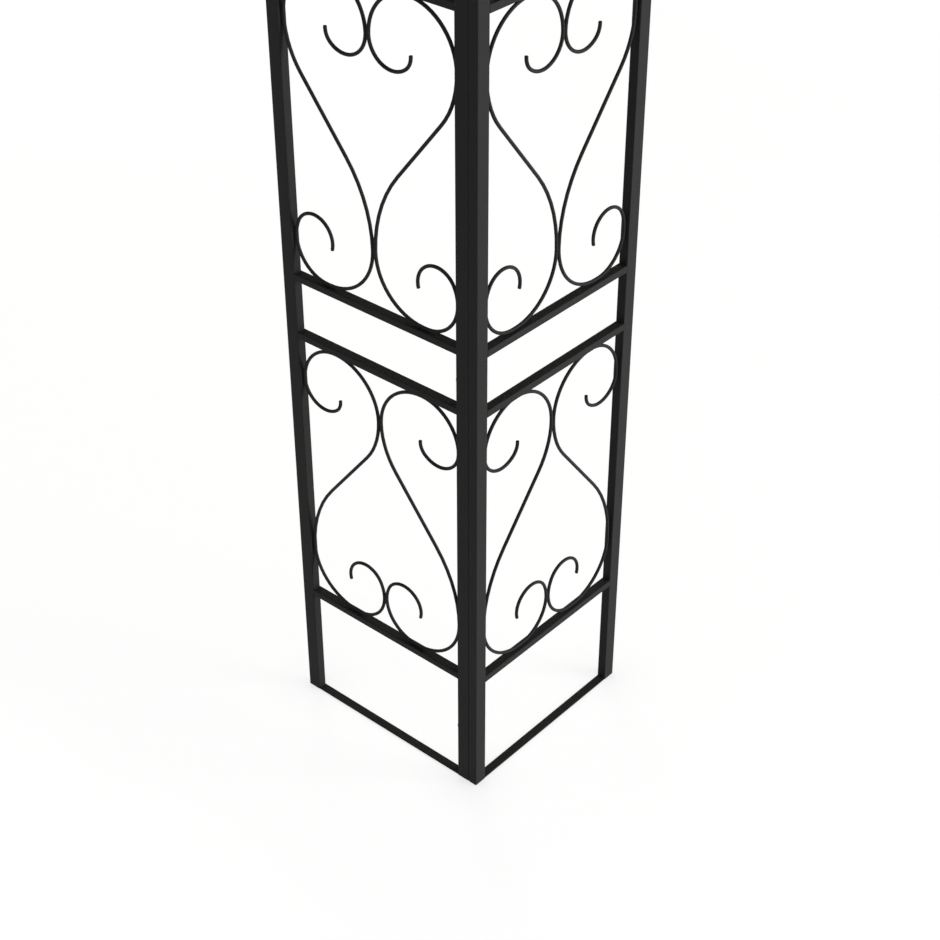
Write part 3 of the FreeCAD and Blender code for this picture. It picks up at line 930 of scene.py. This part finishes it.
class GazeboFittings(bpy.types.PropertyGroup):
    """Sizes of edges, welds and fastener heads."""

    edge_radius: FloatProperty(name="Tube edge", description="Rounding of rolled tube", default=0.0016, unit="LENGTH")
    plate_edge: FloatProperty(name="Plate edge", description="Rounding of plates", default=0.0006, unit="LENGTH")
    weld: FloatProperty(name="Weld bead", description="Radius of a weld bead", default=0.0018, unit="LENGTH")
    bolt_head_radius: FloatProperty(
        name="Bolt head", description="Across corners, halved", default=0.0055, unit="LENGTH"
    )
    bolt_head_height: FloatProperty(name="Bolt height", description="Height of the head", default=0.004, unit="LENGTH")
    washer_radius: FloatProperty(name="Washer", description="Radius of the washer", default=0.0075, unit="LENGTH")
    washer_thickness: FloatProperty(name="Washer wall", description="Washer thickness", default=0.0012, unit="LENGTH")
    screw_head_radius: FloatProperty(name="Screw head", description="Radius of the head", default=0.005, unit="LENGTH")
    screw_head_height: FloatProperty(
        name="Screw height", description="Height of the head", default=0.0024, unit="LENGTH"
    )


class GazeboFabric(bpy.types.PropertyGroup):
    """Sizes of the canopy and its skirts."""

    thickness: FloatProperty(name="Canvas", description="Thickness of the canvas", default=0.0009, unit="LENGTH")
    sag: FloatProperty(name="Sag", description="Slack between the hips", default=0.036, unit="LENGTH")
    vent_sag: FloatProperty(name="Vent sag", description="Slack of the vent canopy", default=0.014, unit="LENGTH")
    fold: FloatProperty(name="Folds", description="Depth of the valance's folds", default=0.006, unit="LENGTH")
    vent_fold: FloatProperty(
        name="Vent folds", description="Depth of the vent skirt's folds", default=0.003, unit="LENGTH"
    )
    vent_drop: FloatProperty(name="Vent skirt", description="Drop of the vent skirt", default=0.045, unit="LENGTH")
    hem_width: FloatProperty(name="Hem width", description="Width of hems and tapes", default=0.03, unit="LENGTH")
    welt: FloatProperty(name="Welt", description="Radius of the piping", default=0.003, unit="LENGTH")
    patch: FloatProperty(name="Patch", description="Width of a corner patch", default=0.3, unit="LENGTH")
    tie_width: FloatProperty(name="Tie width", description="Width of a tie strap", default=0.025, unit="LENGTH")
    tie_wall: FloatProperty(name="Tie wall", description="Thickness of a tie strap", default=0.001, unit="LENGTH")
    tie_gap: FloatProperty(name="Tie gap", description="Room between strap and beam", default=0.0004, unit="LENGTH")
    tie_from_corner: FloatProperty(
        name="Outer ties", description="From a corner to the first strap", default=0.62, unit="LENGTH"
    )
    tie_from_middle: FloatProperty(
        name="Inner ties", description="From a side's middle to a strap", default=0.4, unit="LENGTH"
    )


class GazeboStage(bpy.types.PropertyGroup):
    """Floor, light and camera."""

    floor_size: FloatProperty(name="Floor", description="Side of the floor", default=80.0, unit="LENGTH")
    floor_gap: FloatProperty(name="Floor gap", description="Gap under the feet", default=0.0005, unit="LENGTH")
    floor_paint: StringProperty(name="Floor paint", description="Colour of the floor", default="#f3f3f3")
    floor_white: FloatProperty(
        name="Floor white", description="Share of plain white in the floor", default=0.8, subtype="FACTOR"
    )
    floor_glow: FloatProperty(name="Floor glow", description="Strength of the plain white", default=1.14)
    fade_from: FloatProperty(
        name="Fade from", description="How far out the floor starts to turn plain white", default=3.0, unit="LENGTH"
    )
    fade_to: FloatProperty(
        name="Fade to", description="How far out the floor is plain white", default=12.0, unit="LENGTH"
    )
    contact: FloatProperty(
        name="Contact shadow", description="Reach of the shadow round a foot", default=0.12, unit="LENGTH"
    )
    contact_depth: FloatProperty(
        name="Contact depth", description="Darkness of the shadow round a foot", default=0.3, subtype="FACTOR"
    )
    contact_rays: IntProperty(name="Contact rays", description="Rays that feel for a foot", default=4, min=1)
    backdrop: StringProperty(name="Backdrop", description="Colour of the backdrop", default="#ffffff")
    sky: FloatProperty(name="Sky", description="Strength of the soft light from all round", default=0.18)
    key_power: FloatProperty(name="Key", description="Power of the key lamp", default=1100.0, unit="POWER")
    fill_power: FloatProperty(name="Fill", description="Power of the fill lamp", default=18.0, unit="POWER")
    back_power: FloatProperty(name="Back", description="Power of the back lamp", default=700.0, unit="POWER")
    top_power: FloatProperty(name="Top", description="Power of the lamp over the roof", default=200.0, unit="POWER")
    lens: FloatProperty(name="Lens", description="Focal length in millimetres", default=71.63)
    sensor: FloatProperty(name="Sensor", description="Width of the sensor in millimetres", default=36.0)
    camera_spot: FloatVectorProperty(
        name="Camera", description="Place of the camera", default=(-4.1369, -3.3403, 2.7971), subtype="TRANSLATION"
    )
    camera_turn: FloatVectorProperty(
        name="Camera turn", description="Turn of the camera", subtype="EULER",
        default=(math.radians(54.808), 0.0, math.radians(-49.013)),
    )


class GAZEBO_OT_leg_tubes(bpy.types.Operator):
    """Make the posts, rails and strips of the four legs"""

    bl_idname = "gazebo.leg_tubes"
    bl_label = "Leg Tubes"

    def execute(self, context):
        coat = finish(context.scene, "powder_coated_steel")
        radius = context.scene.gazebo_fittings.edge_radius
        for panel, _ in leg_panels():
            for part in ("corner_post", "end_post", "rails"):
                rounded_copy(f"{panel}_{part}", radius, TUBE_EDGE, coat)
        return {"FINISHED"}


class GAZEBO_OT_scroll_bars(bpy.types.Operator):
    """Bend the scroll bars of every leg panel"""

    bl_idname = "gazebo.scroll_bars"
    bl_label = "Scroll Bars"

    def execute(self, context):
        coat = finish(context.scene, "powder_coated_steel")
        bar = scroll_bar(context.scene.gazebo_scrolls, tiers()[0][1])
        for panel, there in leg_panels():
            bm = bmesh.new()
            for place in bar_places():
                add_mesh(bm, bar, there @ place)
            bmesh.ops.recalc_face_normals(bm, faces=bm.faces)
            finish_piece(bm, panel + "_scrolls_wire", coat, "frame_steel", panel + "_scrolls")
        bpy.data.meshes.remove(bar)
        return {"FINISHED"}


class GAZEBO_OT_welds(bpy.types.Operator):
    """Lay the weld beads of rails, strips and scroll bars"""

    bl_idname = "gazebo.welds"
    bl_label = "Welds"

    def execute(self, context):
        coat = finish(context.scene, "powder_coated_steel")
        spots = weld_spots(context.scene.gazebo_scrolls, context.scene.gazebo_fittings.weld)
        for panel, there in leg_panels():
            bm = bmesh.new()
            for centre, reach in spots:
                place = there @ Matrix.Translation(centre) @ Matrix.Diagonal((*reach, 1.0))
                bmesh.ops.create_uvsphere(bm, u_segments=8, v_segments=5, radius=1.0, matrix=place)
            smooth_faces(bm)
            finish_piece(bm, panel + "_welds", coat, "frame_steel")
        return {"FINISHED"}


class GAZEBO_OT_fasteners(bpy.types.Operator):
    """Make the leg bolts, the roof screws and what holds them inside the tubes"""

    bl_idname = "gazebo.fasteners"
    bl_label = "Fasteners"

    def execute(self, context):
        size = context.scene.gazebo_fittings
        plate = finish(context.scene, "black_zinc_plate")
        heads_piece("leg_bolts", hex_head(size), "leg_bolt_heads", plate)
        heads_piece("roof_screws", pan_head(size), "roof_screw_heads", plate)
        recoat("leg_rivet_nuts", plate)
        recoat("foot_plugs", finish(context.scene, "moulded_polyethylene"))
        return {"FINISHED"}


class GAZEBO_OT_roof_frame(bpy.types.Operator):
    """Make the eave beams, rafters, vent frame and their fittings"""

    bl_idname = "gazebo.roof_frame"
    bl_label = "Roof Frame"

    def execute(self, context):
        coat = finish(context.scene, "powder_coated_steel")
        size = context.scene.gazebo_fittings
        tubes = [f"{side}_beam_{half}" for side in SIDES for half in ("near", "far")]
        tubes += [leg + "_hip_rafter" for leg in LEGS]
        tubes += ["vent_frame", "vent_rafters", "ridge_tube"]
        for node in tubes:
            rounded_copy(node, size.edge_radius, TUBE_EDGE, coat)
        for node in ("corner_plates", "vent_brackets", "ridge_connectors"):
            rounded_copy(node, size.plate_edge, PLATE_EDGE, coat)
        recoat("beam_sleeves", coat)
        return {"FINISHED"}


class GAZEBO_OT_main_canopy(bpy.types.Operator):
    """Stretch the main canopy over the hip rafters and hang its valance"""

    bl_idname = "gazebo.main_canopy"
    bl_label = "Main Canopy"

    def execute(self, context):
        scene = context.scene
        size = scene.gazebo_fabric
        low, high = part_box("main_canopy")
        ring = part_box("vent_frame")[1].x
        eave = (HALF_PLAN[0] - high.x, low.z + CLOTH_MIDDLE)
        top = (HALF_PLAN[0] - ring - RING_GAP, high.z - CLOTH_MIDDLE)
        even = (size.hem_width, size.hem_width)
        flared = (size.patch, size.hem_width)
        canopy = canopy_piece(scene, "main_canopy", eave, top, size.sag, columns=48, rows=30)
        tapes = tape_piece(scene, "main_canopy_tapes", eave, top, UPPER_LAYER, even, reach=1.0, rows=24)
        patches = tape_piece(scene, "main_canopy_patches", eave, top, LOWER_LAYER, flared, reach=0.2, rows=8)
        welt = welt_piece(scene, "main_canopy_welt", eave)
        inset = eave[0] + CLOTH_MIDDLE
        levels = (eave[1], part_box("main_valance")[0].z)
        valance, hem = skirt_pieces(
            scene, "main_valance", inset, levels, size.fold, waves=38, rows=10, nodes=["main_valance"]
        )
        binding = corner_bindings(inset, levels, size.thickness * BINDING_LAYER, size.hem_width * BINDING_WIDTH)
        binding = cloth_piece(scene, binding, "main_valance_bindings", "stitched_polyester_hem")
        return {"FINISHED"}


class GAZEBO_OT_tie_straps(bpy.types.Operator):
    """Loop the straps that tie the canopy to the eave beams"""

    bl_idname = "gazebo.tie_straps"
    bl_label = "Tie Straps"

    def execute(self, context):
        size = context.scene.gazebo_fabric
        webbing = finish(context.scene, "woven_polypropylene_webbing")
        low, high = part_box("front_beam_near")
        back = corner_place(0).inverted()
        strap = tie_strap(size, (back @ low, back @ high))
        start = (back @ low + back @ high).x / 2
        bm = bmesh.new()
        for corner in range(4):
            length = SIDE_LENGTHS[corner]
            runs = (size.tie_from_corner, length / 2 - size.tie_from_middle)
            for run in (*runs, length - runs[1], length - runs[0]):
                add_mesh(bm, strap, corner_place(corner) @ Matrix.Translation((run - start, 0, 0)))
        bpy.data.meshes.remove(strap)
        finish_piece(bm, "canopy_tie_straps", webbing, "canopy_fabric")
        return {"FINISHED"}


class GAZEBO_OT_vent_canopy(bpy.types.Operator):
    """Stretch the small canopy over the vent and hang its skirt"""

    bl_idname = "gazebo.vent_canopy"
    bl_label = "Vent Canopy"

    def execute(self, context):
        scene = context.scene
        size = scene.gazebo_fabric
        low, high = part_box("vent_canopy")
        eave = (HALF_PLAN[0] - high.x, low.z + size.vent_drop + CLOTH_MIDDLE)
        top = (HALF_PLAN[1], high.z - CLOTH_MIDDLE)
        even = (size.hem_width, size.hem_width)
        canopy = canopy_piece(scene, "vent_canopy", eave, top, size.vent_sag, columns=28, rows=14)
        tapes = tape_piece(scene, "vent_canopy_tapes", eave, top, LOWER_LAYER, even, reach=1.0, rows=12)
        welt = welt_piece(scene, "vent_canopy_welt", eave)
        inset = eave[0] + CLOTH_MIDDLE
        levels = (eave[1], low.z)
        skirting, hem = skirt_pieces(scene, "vent_skirt", inset, levels, size.vent_fold, waves=18, rows=5)
        return {"FINISHED"}


class GAZEBO_OT_stage(bpy.types.Operator):
    """Lay the floor, hang the lamps and set the camera"""

    bl_idname = "gazebo.stage"
    bl_label = "Stage"

    def execute(self, context):
        scene = context.scene
        stage = scene.gazebo_stage
        self.lay_floor(stage)
        self.light_sky(scene, stage)
        for name, (spot, aim, side, mirrored_in_coat) in LAMPS.items():
            lamp = self.hang_lamp(name + "_lamp", getattr(stage, name + "_power"), side, spot, aim)
            lamp.visible_glossy = mirrored_in_coat
        view = bpy.data.cameras.new("camera")
        view.lens = stage.lens
        view.sensor_width = stage.sensor
        camera = bpy.data.objects.new("camera", view)
        camera.location = stage.camera_spot
        camera.rotation_euler = stage.camera_turn
        scene.collection.objects.link(camera)
        scene.camera = camera
        scene.view_settings.view_transform = "Standard"
        return {"FINISHED"}

    def seen(self, tree):
        """1 where the backdrop is looked at, straight or in a reflection, and 0 where it only gives light."""
        path = add_node(tree, "ShaderNodeLightPath")
        seen = path.outputs["Is Camera Ray"]
        for ray in ("Is Glossy Ray", "Is Transmission Ray"):
            seen = add_node(tree, "ShaderNodeMath", {0: seen, 1: path.outputs[ray]}, operation="MAXIMUM").outputs[0]
        return seen

    def lay_floor(self, stage):
        """White studio floor that still shows soft shadows."""
        material, tree, output = new_material("white_studio_floor")
        # Away from the gazebo the floor turns plain white, so it runs into the backdrop without an edge.
        place = add_node(tree, "ShaderNodeTexCoord")
        away = add_node(tree, "ShaderNodeVectorMath", {0: place.outputs["Object"]}, operation="LENGTH")
        whiter = add_node(
            tree, "ShaderNodeMapRange",
            {
                "Value": away.outputs["Value"],
                "From Min": stage.fade_from,
                "From Max": stage.fade_to,
                "To Min": stage.floor_white,
                "To Max": 1.0,
            },
            interpolation_type="SMOOTHSTEP",
        )
        share = add_node(
            tree, "ShaderNodeMath", {0: self.seen(tree), 1: whiter.outputs["Result"]}, operation="MULTIPLY"
        )
        paint = add_node(tree, "ShaderNodeBsdfDiffuse", {"Color": linear(stage.floor_paint)})
        # Close to a foot the white dims too, as the plain light alone would leave it standing on air.
        contact = add_node(
            tree, "ShaderNodeAmbientOcclusion", {"Distance": stage.contact}, samples=stage.contact_rays
        )
        dimmed = add_node(
            tree, "ShaderNodeMapRange", {"Value": contact.outputs["AO"], "To Min": 1.0 - stage.contact_depth}
        )
        white = add_node(
            tree, "ShaderNodeEmission", {"Color": dimmed.outputs["Result"], "Strength": stage.floor_glow}
        )
        both = add_node(
            tree, "ShaderNodeMixShader", {0: share.outputs[0], 1: paint.outputs["BSDF"], 2: white.outputs["Emission"]}
        )
        tree.links.new(both.outputs["Shader"], output.inputs["Surface"])
        bm = bmesh.new()
        under = Matrix.Translation((0, 0, -stage.floor_gap))
        bmesh.ops.create_grid(bm, x_segments=1, y_segments=1, size=stage.floor_size / 2, matrix=under)
        mesh = mesh_of(bm, "studio_floor")
        mesh.materials.append(material)
        floor = bpy.data.objects.new("studio_floor", mesh)
        bpy.context.scene.collection.objects.link(floor)

    def light_sky(self, scene, stage):
        """White backdrop all round, with a plain level of soft light."""
        world = bpy.data.worlds.new("studio")
        world.use_nodes = True
        tree = world.node_tree
        tree.nodes.clear()
        level = add_node(tree, "ShaderNodeMapRange", {"Value": self.seen(tree), "To Min": stage.sky, "To Max": 1.0})
        light = add_node(
            tree, "ShaderNodeBackground", {"Color": linear(stage.backdrop), "Strength": level.outputs["Result"]}
        )
        output = add_node(tree, "ShaderNodeOutputWorld")
        tree.links.new(light.outputs["Background"], output.inputs["Surface"])
        scene.world = world

    def hang_lamp(self, name, power, size, spot, aim):
        """Square soft lamp that faces a point."""
        data = bpy.data.lights.new(name, "AREA")
        data.energy = power
        data.size = size
        lamp = bpy.data.objects.new(name, data)
        lamp.location = spot
        lamp.rotation_euler = (Vector(aim) - Vector(spot)).to_track_quat("-Z", "Y").to_euler()
        lamp.visible_camera = False
        bpy.context.scene.collection.objects.link(lamp)
        return lamp


OPERATORS = (
    GAZEBO_OT_leg_tubes,
    GAZEBO_OT_scroll_bars,
    GAZEBO_OT_welds,
    GAZEBO_OT_fasteners,
    GAZEBO_OT_roof_frame,
    GAZEBO_OT_main_canopy,
    GAZEBO_OT_tie_straps,
    GAZEBO_OT_vent_canopy,
    GAZEBO_OT_stage,
)


class GAZEBO_PT_panel(bpy.types.Panel):
    """Lists the gazebo's pieces"""

    bl_idname = "GAZEBO_PT_panel"
    bl_label = "Gazebo"
    bl_space_type = "VIEW_3D"
    bl_region_type = "UI"
    bl_category = "Gazebo"

    def draw(self, context):
        for operator in OPERATORS:
            self.layout.operator(operator.bl_idname)


SETTINGS = {
    "gazebo_colours": GazeboColours,
    "gazebo_scrolls": GazeboScrolls,
    "gazebo_fittings": GazeboFittings,
    "gazebo_fabric": GazeboFabric,
    "gazebo_stage": GazeboStage,
}


def register():
    """Add the settings, the operators and the panel to Blender."""
    for name, group in SETTINGS.items():
        bpy.utils.register_class(group)
        setattr(bpy.types.Scene, name, PointerProperty(type=group))
    for operator in OPERATORS:
        bpy.utils.register_class(operator)
    bpy.utils.register_class(GAZEBO_PT_panel)


def unregister():
    """Take the panel, the operators and the settings out again."""
    bpy.utils.unregister_class(GAZEBO_PT_panel)
    for operator in reversed(OPERATORS):
        bpy.utils.unregister_class(operator)
    for name, group in SETTINGS.items():
        delattr(bpy.types.Scene, name)
        bpy.utils.unregister_class(group)


def main():
    """Make every piece and the stage."""
    register()
    bpy.ops.gazebo.leg_tubes()
    bpy.ops.gazebo.scroll_bars()
    bpy.ops.gazebo.welds()
    bpy.ops.gazebo.fasteners()
    bpy.ops.gazebo.roof_frame()
    bpy.ops.gazebo.main_canopy()
    bpy.ops.gazebo.tie_straps()
    bpy.ops.gazebo.vent_canopy()
    bpy.ops.gazebo.stage()


if __name__ == "__main__":
    main()
